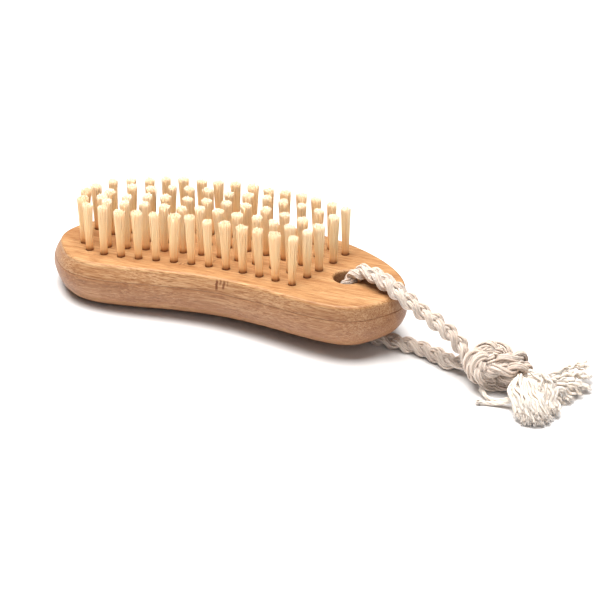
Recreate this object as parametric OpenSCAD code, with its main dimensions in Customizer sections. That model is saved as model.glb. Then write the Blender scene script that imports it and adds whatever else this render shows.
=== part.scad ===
// Scalp massager brush: two glued bamboo boards in a bent bean outline, five
// curved rows of nylon tufts stapled into blind holes, and a plaited cotton
// rope looped through a drilled hole and tied in one knot.
// The brush lies on its rounded back with the rope's lower strand under one
// end, so the body is propped up by a few degrees.  +X runs to the rope end,
// +Y to the outer side of the bend, +Z up.

/* [Body] */
// Length of the face along the middle of the bend
body_length = 131.8; // [120:0.2:145]
// Width of the face across the bend
body_width = 49; // [44:0.5:54]
// Radius that the middle line of the body is bent to
bend_radius = 103.2; // [90:0.2:160]
// Squareness of the outline: 2 is an ellipse, larger is squarer
outline_power = 2.83; // [2.4:0.01:3.4]
// Thickness of both boards together
body_thickness = 18; // [16:0.5:21]
// Thickness of the upper board, from the face to the glue line
upper_thickness = 5.3; // [4.5:0.1:7]
// Radius of the eased edge round the face
face_edge_radius = 1.2; // [0.6:0.1:2]
// How far the sides swell past the face at the plain end
side_swell_plain = 2.6; // [1:0.1:3.5]
// How far the sides swell past the face at the rope end
side_swell_rope = 0.8; // [0.2:0.1:2]
// Depth below the face where the side is widest
swell_depth = 8.4; // [7:0.1:10]
// Width of the round-over between the side and the flat of the back
back_round = 8.2; // [5:0.1:10]
// Angle that the rope under one end props the body up by
prop_angle = 2.4; // [2.2:0.1:3]

/* [Bristles] */
// Height of a tuft above the face
tuft_height = 18.4; // [14:0.2:22]
// Diameter of a tuft where it leaves its hole
tuft_d = 2.8; // [2.2:0.1:3]
// Diameter of the spread end of a tuft
tuft_tip_d = 3.6; // [3:0.1:4.4]
// Depth of a tuft hole below the face
tuft_hole_depth = 10.2; // [8:0.2:12]
// Number of tufts round the outer ring
ring_tufts = 31; // [24:1:33]
// Number of tufts in the first inner row
row_2_tufts = 12; // [9:1:13]
// Number of tufts in the middle row
row_3_tufts = 12; // [9:1:13]
// Number of tufts in the last inner row
row_4_tufts = 13; // [10:1:14]
// Distance from the middle of the bend to the outer ring, sideways
ring_half_width = 16.3; // [15:0.1:17]
// Distance from the middle of the face to the ring's closed end
ring_half_length = 57.5; // [54:0.5:59]
// Place along the bend where every row ends, beside the rope hole
rows_end = 33.6; // [28:0.2:34.4]

/* [Anchor staples] */
// Length of the flat wire across a tuft hole
staple_length = 3.4; // [3.2:0.1:3.8]
// Thickness of the flat wire
staple_thickness = 0.35; // [0.25:0.05:0.5]
// Height of the flat wire
staple_height = 1.3; // [1:0.1:1.8]

/* [Rope] */
// Diameter of the plaited rope
rope_d = 4.6; // [4:0.1:5]
// Diameter of the hole for the rope
rope_hole_d = 10; // [9.6:0.1:11]
// Place of the hole along the bend
rope_hole_along = 44.4; // [43.5:0.1:45]
// Place of the hole across the bend
rope_hole_across = 2.6; // [1:0.1:4]
// Diameter of the loose yarn beside the knot
yarn_d = 1.6; // [1.2:0.1:2]

/* [Hidden] */

half_length = body_length / 2;
half_width = body_width / 2;
outline_points = 112;
cut = 0.4;   // tools run this far past the faces they cut

// The rope's middle line: off the knot, over the face, down the hole, out
// under the end of the body and along the table back to the knot.
rope_route = [
    [97, -17, 9], [91, -16, 12.4], [84, -15.2, 16.4], [76, -14.6, 20.6],
    [69, -14, 24.4], [63, -11.5, 26.5], [57, -8.5, 27], [53, -6.6, 27],
    [49.5, -5.2, 25.8], [46.3, -4.6, 22.8], [45, -4.5, 18.5], [44.9, -4.5, 13.5],
    [45, -4.5, 9.5], [45.6, -4.5, 6.2], [47.4, -4.6, 3.4], [50.5, -5, 2.2],
    [54, -5.6, 2], [60, -6.6, 2.2], [66, -7.3, 2.4], [72, -7.6, 2.4],
    [78, -9, 2.4], [84, -11.4, 2.5], [90, -14.6, 3.4], [96, -18.4, 5]
];
// The loose yarn lies on the table beside the knot.
yarn_route = [[111, -28, 2.4], [109, -29, 1.2], [106, -29.8, 0.8], [103, -30.4, 0.8], [100.5, -31.4, 0.8]];

// ---- outline ------------------------------------------------------------

function sgn_pow(v, p) = sign(v) * pow(abs(v), p);

// Superellipse point [along, across] at angle t
function oval(t, a, b, n) = [a * sgn_pow(cos(t), 2 / n), b * sgn_pow(sin(t), 2 / n)];

// Outward unit normal of that superellipse
function oval_normal(p, a, b, n) =
    let (v = [sgn_pow(p[0], n - 1) / pow(a, n), sgn_pow(p[1], n - 1) / pow(b, n)])
    v / norm(v);

// Wrap [along, across] onto the bend
function bent(p) =
    let (t = p[0] / bend_radius * 180 / PI, r = bend_radius + p[1])
    [r * sin(t), r * cos(t) - bend_radius];

// How far the side swells at a place along the body
function swell_at(along) =
    let (k = (along / half_length + 1) / 2)
    side_swell_plain + (side_swell_rope - side_swell_plain) * k;

// One ring of the body: offset out by a fixed part and by a share of the swell
function body_ring(fixed, share, z) = [
    for (i = [0 : outline_points - 1])
        let (
            t = 360 * i / outline_points,
            q = oval(t, half_length, half_width, outline_power),
            m = oval_normal(q, half_length, half_width, outline_power),
            b = bent(q + m * (fixed + share * swell_at(q[0])))
        )
        [b[0], b[1], z]
];

// Share of the swell that is reached at depth z below the face
function swell_share(z) =
    z >= -face_edge_radius ? 0 :
    let (q = min(1, (-z - face_edge_radius) / (swell_depth - face_edge_radius)))
    1 - pow(1 - q, 2);

upper_rings = concat(
    [for (a = [0 : 22.5 : 90])
        body_ring(face_edge_radius * (sin(a) - 1), 0, face_edge_radius * (cos(a) - 1))],
    [for (z = [-2.6, -4])
        body_ring(0, swell_share(z), z)],
    [body_ring(0, swell_share(-upper_thickness), -upper_thickness)]
);
lower_rings = concat(
    [body_ring(0, swell_share(-upper_thickness), -upper_thickness)],
    [body_ring(0, swell_share(-6.8), -6.8)],
    [for (a = [0 : 11.25 : 90])
        body_ring(back_round * (cos(a) - 1), 1,
            -swell_depth - (body_thickness - swell_depth) * sin(a))]
);

// ---- the lie of the brush on the table ------------------------------------

// Body coordinates (origin at the middle of the face) to propped-up ones
function propped(p) = [
    p[0] * cos(prop_angle) - p[2] * sin(prop_angle),
    p[1],
    p[0] * sin(prop_angle) + p[2] * cos(prop_angle)
];
skin_points = [for (r = concat(upper_rings, lower_rings)) for (p = r) propped(p)];
skin_x = [for (p = skin_points) p[0]];
skin_y = [for (p = skin_points) p[1]];
skin_z = [for (p = skin_points) p[2]];
rest_shift = [
    -(min(skin_x) + max(skin_x)) / 2,
    -(min(skin_y) + max(skin_y)) / 2,
    -min(skin_z)
];

module laid_down() {
    translate(rest_shift) rotate([0, -prop_angle, 0]) children();
}

// ---- skins ----------------------------------------------------------------

// A closed skin through rings of equal count, capped by strips across
module ring_skin(rings) {
    n = len(rings[0]);
    k = len(rings);
    h = n / 2;
    polyhedron(
        points = [for (r = rings) for (p = r) p],
        faces = concat(
            [[n - 1, 1, 0]],
            [for (i = [1 : h - 2]) [n - i, n - i - 1, i + 1, i]],
            [[h + 1, h, h - 1]],
            [for (j = [0 : k - 2]) for (i = [0 : n - 1])
                [j * n + i, j * n + (i + 1) % n, (j + 1) * n + (i + 1) % n]],
            [for (j = [0 : k - 2]) for (i = [0 : n - 1])
                [j * n + i, (j + 1) * n + (i + 1) % n, (j + 1) * n + i]],
            [[(k - 1) * n, (k - 1) * n + 1, (k - 1) * n + n - 1]],
            [for (i = [1 : h - 2])
                [(k - 1) * n + i, (k - 1) * n + i + 1, (k - 1) * n + n - i - 1, (k - 1) * n + n - i]],
            [[(k - 1) * n + h - 1, (k - 1) * n + h, (k - 1) * n + h + 1]]
        )
    );
}

function unit(v) = v / norm(v);

// Catmull-Rom point between b and c
function flow(a, b, c, d, u) =
    0.5 * (2 * b + (c - a) * u + (2 * a - 5 * b + 4 * c - d) * u * u
        + (3 * b - 3 * c + d - a) * u * u * u);

// A route drawn finer: steps points for each stretch
function finer(route, steps) = concat(
    [for (i = [0 : len(route) - 2]) for (s = [0 : steps - 1])
        flow(route[max(i - 1, 0)], route[i], route[i + 1], route[min(i + 2, len(route) - 1)], s / steps)],
    [route[len(route) - 1]]
);

// A soft tube along a route; it never reaches below the table, and stays
// below a ceiling [x limit, height at x = 50, slope] where it is squeezed
module soft_tube(route, d, sides, steps, squeeze_to_x = 0, squeeze_top = 99, slope = 0) {
    pts = finer(route, steps);
    m = len(pts);
    side_way = [0.24, 0.97, 0];
    polyhedron(
        points = [
            for (i = [0 : m - 1])
                let (
                    t = unit(pts[min(i + 1, m - 1)] - pts[max(i - 1, 0)]),
                    s = unit(side_way - (side_way * t) * t),
                    w = cross(t, s)
                )
                for (j = [0 : sides - 1])
                    let (
                        a = 360 * (j + 0.5) / sides,
                        p = pts[i] + d / 2 * (cos(a) * s + sin(a) * w),
                        top = (pts[i][0] < squeeze_to_x && pts[i][2] < 3)
                            ? squeeze_top + (p[0] - 50) * slope : 99
                    )
                    [p[0], p[1], min(max(p[2], 0), top)]
        ],
        faces = concat(
            [[for (j = [0 : sides - 1]) j]],
            [for (i = [0 : m - 2]) for (j = [0 : sides - 1])
                [i * sides + j, (i + 1) * sides + j, (i + 1) * sides + (j + 1) % sides]],
            [for (i = [0 : m - 2]) for (j = [0 : sides - 1])
                [i * sides + j, (i + 1) * sides + (j + 1) % sides, i * sides + (j + 1) % sides]],
            [[for (j = [sides - 1 : -1 : 0]) (m - 1) * sides + j]]
        )
    );
}

// ---- tuft places ------------------------------------------------------------

// The outer ring, from the rope end of the front row round the plain end to
// the rope end of the back row, as a dense line [along, across]
ring_line = [
    for (t = [-1 : -1 : -359])
        let (q = oval(t, ring_half_length, ring_half_width, t > -180 ? 2.6 : 3.4))
        if (q[0] <= rows_end) q
];

function line_lengths(line, i = 0, sum = 0, out = []) =
    i >= len(line) ? out :
    line_lengths(line, i + 1,
        sum + (i + 1 < len(line) ? norm(bent(line[i + 1]) - bent(line[i])) : 0),
        concat(out, [sum]));

// count places at equal steps along a dense line
function spaced(line, count) =
    let (l = line_lengths(line), total = l[len(l) - 1])
    [for (k = [0 : count - 1])
        let (
            want = total * k / (count - 1),
            i = max([for (j = [0 : len(l) - 2]) l[j] <= want ? j : 0]),
            u = (want - l[i]) / (l[i + 1] - l[i])
        )
        line[i] + (line[i + 1] - line[i]) * u];

// A row across the field: its across value falls away towards the ends
function row_line(from, to, across, reach, power) = [
    for (s = [0 : 40])
        let (x = from + (to - from) * s / 40)
        [x, across * pow(1 - pow(abs(x) / reach, power), 1 / power)]
];

ring_places = spaced(ring_line, ring_tufts);
front_count = floor(ring_tufts / 2);
places_front = [for (i = [0 : front_count - 1]) ring_places[i]];
places_back = [for (i = [front_count : ring_tufts - 1]) ring_places[i]];
places_2 = spaced(row_line(-49, rows_end, -8.3, 54, 2.3), row_2_tufts);
places_3 = spaced(row_line(-49.5, rows_end, -0.3, 60, 2.3), row_3_tufts);
places_4 = spaced(row_line(-47, rows_end, 8.4, 56, 3), row_4_tufts);

module at_places(places) {
    for (p = places)
        let (b = bent(p))
            translate([b[0], b[1], 0]) rotate([0, 0, -p[0] / bend_radius * 180 / PI]) children();
}

// ---- pieces -----------------------------------------------------------------

module tuft_holes() {
    for (places = [places_front, places_2, places_3, places_4, places_back])
        at_places(places)
            translate([0, 0, -tuft_hole_depth]) cylinder(h = tuft_hole_depth + cut, d = tuft_d, $fn = 24);
}

module rope_hole() {
    b = bent([rope_hole_along, rope_hole_across]);
    translate([b[0], b[1], 0]) {
        translate([0, 0, -body_thickness - cut])
            cylinder(h = body_thickness + 2 * cut, d = rope_hole_d, $fn = 48);
        // eased rims
        translate([0, 0, -0.7]) cylinder(h = 1.1, d1 = rope_hole_d, d2 = rope_hole_d + 2.2, $fn = 48);
        translate([0, 0, -body_thickness - 0.4])
            cylinder(h = 1.1, d1 = rope_hole_d + 2.2, d2 = rope_hole_d, $fn = 48);
    }
}

module upper_board() {
    color("burlywood") laid_down() difference() {
        ring_skin(upper_rings);
        tuft_holes();
        rope_hole();
    }
}

module lower_board() {
    color("tan") laid_down() difference() {
        ring_skin(lower_rings);
        tuft_holes();
        rope_hole();
    }
}

// One bundle folded round its staple, spread a little at the tips
module tuft() {
    difference() {
        union() {
            translate([0, 0, -tuft_hole_depth]) cylinder(h = tuft_hole_depth, d = tuft_d, $fn = 24);
            cylinder(h = tuft_height, d1 = tuft_d, d2 = tuft_tip_d, $fn = 24);
        }
        staple();
    }
}

// A strip of flat wire set across the hole, its two ends bitten into the wood
module staple() {
    translate([-staple_length / 2, -staple_thickness / 2, -tuft_hole_depth + 0.5])
        cube([staple_length, staple_thickness, staple_height]);
}

module tuft_row(places) { color("antiquewhite") laid_down() at_places(places) tuft(); }
module staple_row(places) { color("silver") laid_down() at_places(places) staple(); }

module tuft_row_front() { tuft_row(places_front); }
module tuft_row_2() { tuft_row(places_2); }
module tuft_row_3() { tuft_row(places_3); }
module tuft_row_4() { tuft_row(places_4); }
module tuft_row_back() { tuft_row(places_back); }
module staples_front() { staple_row(places_front); }
module staples_2() { staple_row(places_2); }
module staples_3() { staple_row(places_3); }
module staples_4() { staple_row(places_4); }
module staples_back() { staple_row(places_back); }

module rope_loop() {
    color("linen") soft_tube(rope_route, rope_d, 10, 2, 66, 4.1, tan(prop_angle));
}

module ball(at, d) { translate(at) sphere(d = d, $fn = 28); }

// Overhand knot of both strands, pulled up into one lump
module rope_knot() {
    color("linen") hull() {
        ball([102.5, -18.5, 8.2], 16);
        ball([107, -20.6, 7.9], 15);
        ball([98.5, -17.8, 8.6], 9);
        ball([112, -22.6, 7.6], 9);
    }
}

// Frayed end that points to the front, with its yarns cut level
module rope_end_a() {
    color("linen") hull() {
        ball([112.5, -24.5, 7.4], 11);
        ball([117, -31, 7.2], 14);
        ball([121, -35.5, 5], 9.4);
        ball([115, -33.5, 5], 9.4);
    }
}

// Frayed end that points away from the knot, opened into wavy yarns
module rope_end_b() {
    color("linen") hull() {
        ball([113, -22, 7.2], 10);
        ball([122, -20, 6.4], 12.4);
        ball([130, -15.5, 4.2], 8);
        ball([127.5, -25, 4.4], 8.4);
    }
}

module loose_yarn() {
    color("linen") soft_tube(yarn_route, yarn_d, 8, 2);
}

upper_board();
lower_board();
tuft_row_front();
tuft_row_2();
tuft_row_3();
tuft_row_4();
tuft_row_back();
staples_front();
staples_2();
staples_3();
staples_4();
staples_back();
rope_loop();
rope_knot();
rope_end_a();
rope_end_b();
loose_yarn();
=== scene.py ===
import math
import bpy
import numpy as np
from mathutils import Matrix, Vector
from mathutils.geometry import delaunay_2d_cdt


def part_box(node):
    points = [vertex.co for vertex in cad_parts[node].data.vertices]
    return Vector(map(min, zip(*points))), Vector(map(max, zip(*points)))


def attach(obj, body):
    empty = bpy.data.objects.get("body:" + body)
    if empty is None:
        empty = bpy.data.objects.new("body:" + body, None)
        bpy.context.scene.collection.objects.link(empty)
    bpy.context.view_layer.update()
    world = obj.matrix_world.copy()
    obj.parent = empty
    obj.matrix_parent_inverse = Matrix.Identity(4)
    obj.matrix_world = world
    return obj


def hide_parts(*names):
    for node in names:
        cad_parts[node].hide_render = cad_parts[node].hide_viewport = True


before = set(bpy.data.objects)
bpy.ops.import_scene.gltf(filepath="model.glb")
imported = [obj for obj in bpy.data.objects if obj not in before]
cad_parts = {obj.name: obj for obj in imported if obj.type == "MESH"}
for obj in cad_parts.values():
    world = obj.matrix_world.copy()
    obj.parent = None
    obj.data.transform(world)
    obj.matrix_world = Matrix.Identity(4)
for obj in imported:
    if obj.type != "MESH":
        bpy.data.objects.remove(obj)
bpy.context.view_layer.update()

scene = bpy.context.scene
MM = 0.001

# ---------------------------------------------------------------------------
# The body's own coordinates: millimetres, origin at the middle of the face,
# +X to the rope end, +Y to the outer side of the bend, face at z = 0.
# ---------------------------------------------------------------------------
LENGTH, WIDTH, BEND, POWER, THICK = 131.8, 49.0, 103.2, 2.83, 18.0
UPPER, EDGE = 5.3, 1.2
SWELL_PLAIN, SWELL_ROPE, SWELL_DEPTH, BACK_ROUND = 2.6, 0.8, 8.4, 8.2
TILT = math.radians(2.4)
HOLE_AT, HOLE_R = (44.4, 2.6), 5.0
TUFT_H = 18.4


def spow(v, p):
    return np.sign(v) * np.abs(v) ** p


def oval(t, a, b, n):
    return np.stack([a * spow(np.cos(t), 2 / n), b * spow(np.sin(t), 2 / n)], -1)


def oval_normal(q, a, b, n):
    v = np.stack([spow(q[..., 0], n - 1) / a**n, spow(q[..., 1], n - 1) / b**n], -1)
    return v / np.linalg.norm(v, axis=-1, keepdims=True)


def bent(q):
    q = np.asarray(q, float)
    t, r = q[..., 0] / BEND, BEND + q[..., 1]
    return np.stack([r * np.sin(t), r * np.cos(t) - BEND], -1)


def even_angles(count):
    """Angles of the outline that stand at even steps along it, one of them at t = 0."""
    t = np.linspace(0, 2 * math.pi, 8001)
    p = bent(oval(t, LENGTH / 2, WIDTH / 2, POWER))
    s = np.concatenate([[0], np.cumsum(np.linalg.norm(np.diff(p, axis=0), axis=1))])
    return np.interp(np.linspace(0, s[-1], count, endpoint=False), s, t)


RING_T = even_angles(352)


def swell_share(z):
    if z >= -EDGE:
        return 0.0
    return 1 - (1 - min(1, (-z - EDGE) / (SWELL_DEPTH - EDGE))) ** 2


def body_ring(fixed, share, z):
    q = oval(RING_T, LENGTH / 2, WIDTH / 2, POWER)
    m = oval_normal(q, LENGTH / 2, WIDTH / 2, POWER)
    k = (q[:, 0] / (LENGTH / 2) + 1) / 2
    swell = SWELL_PLAIN + (SWELL_ROPE - SWELL_PLAIN) * k
    b = bent(q + m * (fixed + share * swell)[:, None])
    return np.column_stack([b, np.full(len(b), z)])


def propped(p):
    p = np.asarray(p, float)
    c, s = math.cos(TILT), math.sin(TILT)
    return np.stack(
        [p[..., 0] * c - p[..., 2] * s, p[..., 1], p[..., 0] * s + p[..., 2] * c], -1
    )


# Where the propped body stands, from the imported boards' own box
low_u, high_u = (np.array(v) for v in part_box("upper_board"))
low_l, high_l = (np.array(v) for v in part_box("lower_board"))
_skin = [body_ring(0, swell_share(z), z) for z in np.linspace(-EDGE, -SWELL_DEPTH, 9)]
_skin += [
    body_ring(BACK_ROUND * (math.cos(a) - 1), 1, -SWELL_DEPTH - (THICK - SWELL_DEPTH) * math.sin(a))
    for a in np.linspace(0, math.pi / 2, 60)
]
_skin = propped(np.concatenate(_skin))
_boards = np.array([np.minimum(low_u, low_l), np.maximum(high_u, high_l)]) / MM
SHIFT = np.array(
    [
        (_boards[0][0] + _boards[1][0]) / 2 - (_skin[:, 0].min() + _skin[:, 0].max()) / 2,
        (_boards[0][1] + _boards[1][1]) / 2 - (_skin[:, 1].min() + _skin[:, 1].max()) / 2,
        _boards[0][2] - _skin[:, 2].min(),
    ]
)


def lay(p):
    """Body millimetres to row-frame millimetres."""
    return propped(p) + SHIFT


# ---------------------------------------------------------------------------
# Camera: first, because the cords are measured against its view
# ---------------------------------------------------------------------------
ELEV, YAW, DIST = math.radians(28.3), -0.36227, 600.0
AT_X, AT_Y = -22.024, 39.485


def view_dir(v):
    """A direction seen upright in the picture (X right, Y away, Z off the face) in the row frame."""
    c, s = math.cos(-YAW), math.sin(-YAW)
    v = np.array([v[0] * c - v[1] * s, v[0] * s + v[1] * c, v[2]])
    return propped(v)


def view_point(w):
    c, s = math.cos(-YAW), math.sin(-YAW)
    dx, dy = w[0] - AT_X, w[1] - AT_Y
    return lay(np.array([dx * c - dy * s, dx * s + dy * c, w[2]]))


forward = np.array([0, math.cos(ELEV), -math.sin(ELEV)])
cam_data = bpy.data.cameras.new("camera")
cam_data.lens, cam_data.sensor_width = 105.0, 36.0
cam_data.clip_start, cam_data.clip_end = 0.01, 20
cam = bpy.data.objects.new("camera", cam_data)
scene.collection.objects.link(cam)
right = view_dir([1, 0, 0])
up = view_dir([0, math.sin(ELEV), math.cos(ELEV)])
back = -view_dir(forward)
place = view_point(-forward * DIST) * MM
cam.matrix_world = Matrix(
    [
        [right[0], up[0], back[0], place[0]],
        [right[1], up[1], back[1], place[1]],
        [right[2], up[2], back[2], place[2]],
        [0, 0, 0, 1],
    ]
)
scene.camera = cam


# ---------------------------------------------------------------------------
# Mesh helpers
# ---------------------------------------------------------------------------
class Build:
    """Collects vertices, faces and per-vertex values, all in millimetres."""

    def __init__(self):
        self.v, self.f, self.a, self.uv, self.n = [], [], {}, [], 0

    def add(self, verts, faces, uvs=None, **attrs):
        base = self.n
        verts = np.asarray(verts, float)
        self.v.append(verts)
        self.f.extend([tuple(i + base for i in f) for f in faces])
        for k, val in attrs.items():
            self.a.setdefault(k, []).append(np.asarray(val, float))
        if uvs is not None:
            self.uv.extend(uvs)
        self.n += len(verts)
        return base

    def make(self, name, material, smooth=True, to_row=None):
        v = np.concatenate(self.v)
        if to_row is not None:
            v = to_row(v)
        mesh = bpy.data.meshes.new(name)
        mesh.from_pydata((v * MM).tolist(), [], self.f)
        for k, parts in self.a.items():
            val = np.concatenate(parts)
            kind = "FLOAT_VECTOR" if val.ndim == 2 else "FLOAT"
            layer = mesh.attributes.new(k, kind, "POINT")
            layer.data.foreach_set("vector" if val.ndim == 2 else "value", val.astype(np.float32).ravel())
        if self.uv:
            uv = mesh.uv_layers.new(name="along")
            uv.data.foreach_set("uv", np.array(self.uv, np.float32).ravel())
        if smooth:
            mesh.polygons.foreach_set("use_smooth", [True] * len(mesh.polygons))
        mesh.validate()
        mesh.update()
        mesh.materials.append(material)
        ob = bpy.data.objects.new(name, mesh)
        scene.collection.objects.link(ob)
        return ob


def ring_faces(a, b, n):
    """Quads between ring a and ring b, whose first vertices are those indices."""
    return [(a + i, b + i, b + (i + 1) % n, a + (i + 1) % n) for i in range(n)]


def stack(build, rings, flip=False, **attrs):
    """Rings of equal count joined in order; returns the first index of each."""
    starts = []
    for r in rings:
        starts.append(build.add(r, [], bco=r))
    n = len(rings[0])
    for a, b in zip(starts, starts[1:]):
        faces = ring_faces(a, b, n)
        build.f.extend([f[::-1] for f in faces] if flip else faces)
    return starts


def circle(cx, cy, r, z, n, turn=0.0):
    t = np.arange(n) * 2 * math.pi / n + turn
    return np.column_stack([cx + r * np.cos(t), cy + r * np.sin(t), np.full(n, z)])


def cap(build, loops, up, holes):
    """A flat cap inside the first loop and outside the rest. loops are (first index, count),
    holes the rest's (x, y, radius)."""
    index = [i for s, n in loops for i in range(s, s + n)]
    every = np.concatenate(build.v)
    pts = [Vector(every[i][:2]) for i in index]
    edges, at = [], 0
    for _, n in loops:
        edges += [(at + i, at + (i + 1) % n) for i in range(n)]
        at += n
    out = delaunay_2d_cdt(pts, edges, [], 1, 1e-5)
    back_to = [o[0] if o else None for o in out[3]]
    for f in out[2]:
        tri = [index[back_to[i]] for i in f]
        a, b, c = (every[i] for i in tri)
        m = (a + b + c) / 3
        if any(math.hypot(m[0] - h[0], m[1] - h[1]) < h[2] * 0.999 for h in holes):
            continue
        area = (b[0] - a[0]) * (c[1] - a[1]) - (b[1] - a[1]) * (c[0] - a[0])
        if abs(area) > 1e-9:
            build.f.append(tuple(tri if (area > 0) == up else tri[::-1]))


# ---------------------------------------------------------------------------
# Tuft places, by the same rules as the drilled holes
# ---------------------------------------------------------------------------
def at_even_steps(line, count):
    p = bent(line)
    s = np.concatenate([[0], np.cumsum(np.linalg.norm(np.diff(p, axis=0), axis=1))])
    w = np.linspace(0, s[-1], count)
    return np.stack([np.interp(w, s, line[:, k]) for k in (0, 1)], 1)


_t = np.radians(-np.arange(1, 360))
_f = oval(_t, 57.5, 16.3, 2.6)
_b = oval(_t, 57.5, 16.3, 3.4)
ring_line = np.where((np.arange(1, 360) < 180)[:, None], _f, _b)
ring_line = ring_line[ring_line[:, 0] <= 33.6]


def row_line(x0, x1, across, reach, power):
    x = np.linspace(x0, x1, 41)
    return np.stack([x, across * (1 - (np.abs(x) / reach) ** power) ** (1 / power)], 1)


_ring = at_even_steps(ring_line, 31)
ROWS = {
    "front": _ring[:15],
    "2": at_even_steps(row_line(-49, 33.6, -8.3, 54, 2.3), 12),
    "3": at_even_steps(row_line(-49.5, 33.6, -0.3, 60, 2.3), 12),
    "4": at_even_steps(row_line(-47, 33.6, 8.4, 56, 3), 13),
    "back": _ring[15:],
}


# ---------------------------------------------------------------------------
# Materials
# ---------------------------------------------------------------------------
class Mat:
    """A node material built step by step."""

    def __init__(self, name):
        self.m = bpy.data.materials.new(name)
        self.m.use_nodes = True
        self.t = self.m.node_tree
        self.t.nodes.clear()
        self.out = self.t.nodes.new("ShaderNodeOutputMaterial")
        self.bsdf = self.t.nodes.new("ShaderNodeBsdfPrincipled")
        self.link(self.bsdf.outputs[0], self.out.inputs["Surface"])

    def link(self, a, b):
        self.t.links.new(a, b)

    def put(self, socket, value):
        if isinstance(value, bpy.types.NodeSocket):
            self.link(value, socket)
        else:
            socket.default_value = value

    def node(self, kind, **props):
        n = self.t.nodes.new(kind)
        for k, v in props.items():
            setattr(n, k, v)
        return n

    def attr(self, name, what="Vector"):
        return self.node("ShaderNodeAttribute", attribute_name=name).outputs[what]

    def math(self, op, a, b=0.0, c=0.0, clamp=False):
        n = self.node("ShaderNodeMath", operation=op, use_clamp=clamp)
        for s, v in zip(n.inputs, (a, b, c)):
            self.put(s, v)
        return n.outputs[0]

    def split(self, v):
        n = self.node("ShaderNodeSeparateXYZ")
        self.put(n.inputs[0], v)
        return n.outputs

    def join(self, x, y, z):
        n = self.node("ShaderNodeCombineXYZ")
        for s, v in zip(n.inputs, (x, y, z)):
            self.put(s, v)
        return n.outputs[0]

    def scaled(self, v, s):
        n = self.node("ShaderNodeVectorMath", operation="MULTIPLY")
        self.put(n.inputs[0], v)
        n.inputs[1].default_value = s
        return n.outputs[0]

    def noise(self, v, scale, detail=3.0, rough=0.5, distort=0.0):
        n = self.node("ShaderNodeTexNoise")
        self.put(n.inputs["Vector"], v)
        n.inputs["Scale"].default_value = scale
        n.inputs["Detail"].default_value = detail
        n.inputs["Roughness"].default_value = rough
        n.inputs["Distortion"].default_value = distort
        return n.outputs[0]

    def voronoi(self, v, scale, out="Distance", feature="F1", random=1.0):
        n = self.node("ShaderNodeTexVoronoi", feature=feature)
        self.put(n.inputs["Vector"], v)
        n.inputs["Scale"].default_value = scale
        n.inputs["Randomness"].default_value = random
        return n.outputs[out]

    def ramp(self, fac, stops, mode="LINEAR"):
        n = self.node("ShaderNodeValToRGB")
        n.color_ramp.interpolation = mode
        el = n.color_ramp.elements
        while len(el) > 1:
            el.remove(el[-1])
        el[0].position, el[0].color = stops[0][0], (*stops[0][1], 1)
        for p, c in stops[1:]:
            e = el.new(p)
            e.color = (*c, 1)
        self.put(n.inputs[0], fac)
        return n.outputs[0]

    def range(self, v, a, b, c=0.0, d=1.0, smooth=False):
        n = self.node("ShaderNodeMapRange", interpolation_type="SMOOTHSTEP" if smooth else "LINEAR")
        for s, x in zip(n.inputs, (v, a, b, c, d)):
            self.put(s, x)
        return n.outputs[0]

    def mix(self, fac, a, b, blend="MIX"):
        n = self.node("ShaderNodeMix", data_type="RGBA", blend_type=blend)
        self.put(n.inputs[0], fac)
        for s, v in ((n.inputs[6], a), (n.inputs[7], b)):
            self.put(s, (*v, 1) if isinstance(v, tuple) and len(v) == 3 else v)
        return n.outputs[2]

    def bump(self, height, strength, distance, normal=None):
        n = self.node("ShaderNodeBump")
        n.inputs["Strength"].default_value = strength
        n.inputs["Distance"].default_value = distance
        self.put(n.inputs["Height"], height)
        if normal is not None:
            self.put(n.inputs["Normal"], normal)
        return n.outputs[0]

    def set(self, **values):
        names = {
            "color": "Base Color", "rough": "Roughness", "normal": "Normal",
            "sss": "Subsurface Weight", "radius": "Subsurface Radius", "sss_scale": "Subsurface Scale",
            "spec": "Specular IOR Level", "ior": "IOR", "metal": "Metallic",
            "coat": "Coat Weight", "coat_rough": "Coat Roughness",
            "sheen": "Sheen Weight", "sheen_rough": "Sheen Roughness", "trans": "Transmission Weight",
        }
        for k, v in values.items():
            s = self.bsdf.inputs[names[k]]
            if isinstance(v, tuple) and len(v) == 3 and s.type == "RGBA":
                v = (*v, 1)
            self.put(s, v)
        return self.m


def srgb(r, g, b):
    return tuple(((c / 255) / 12.92 if c / 255 <= 0.04045 else ((c / 255 + 0.055) / 1.055) ** 2.4) for c in (r, g, b))


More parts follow.
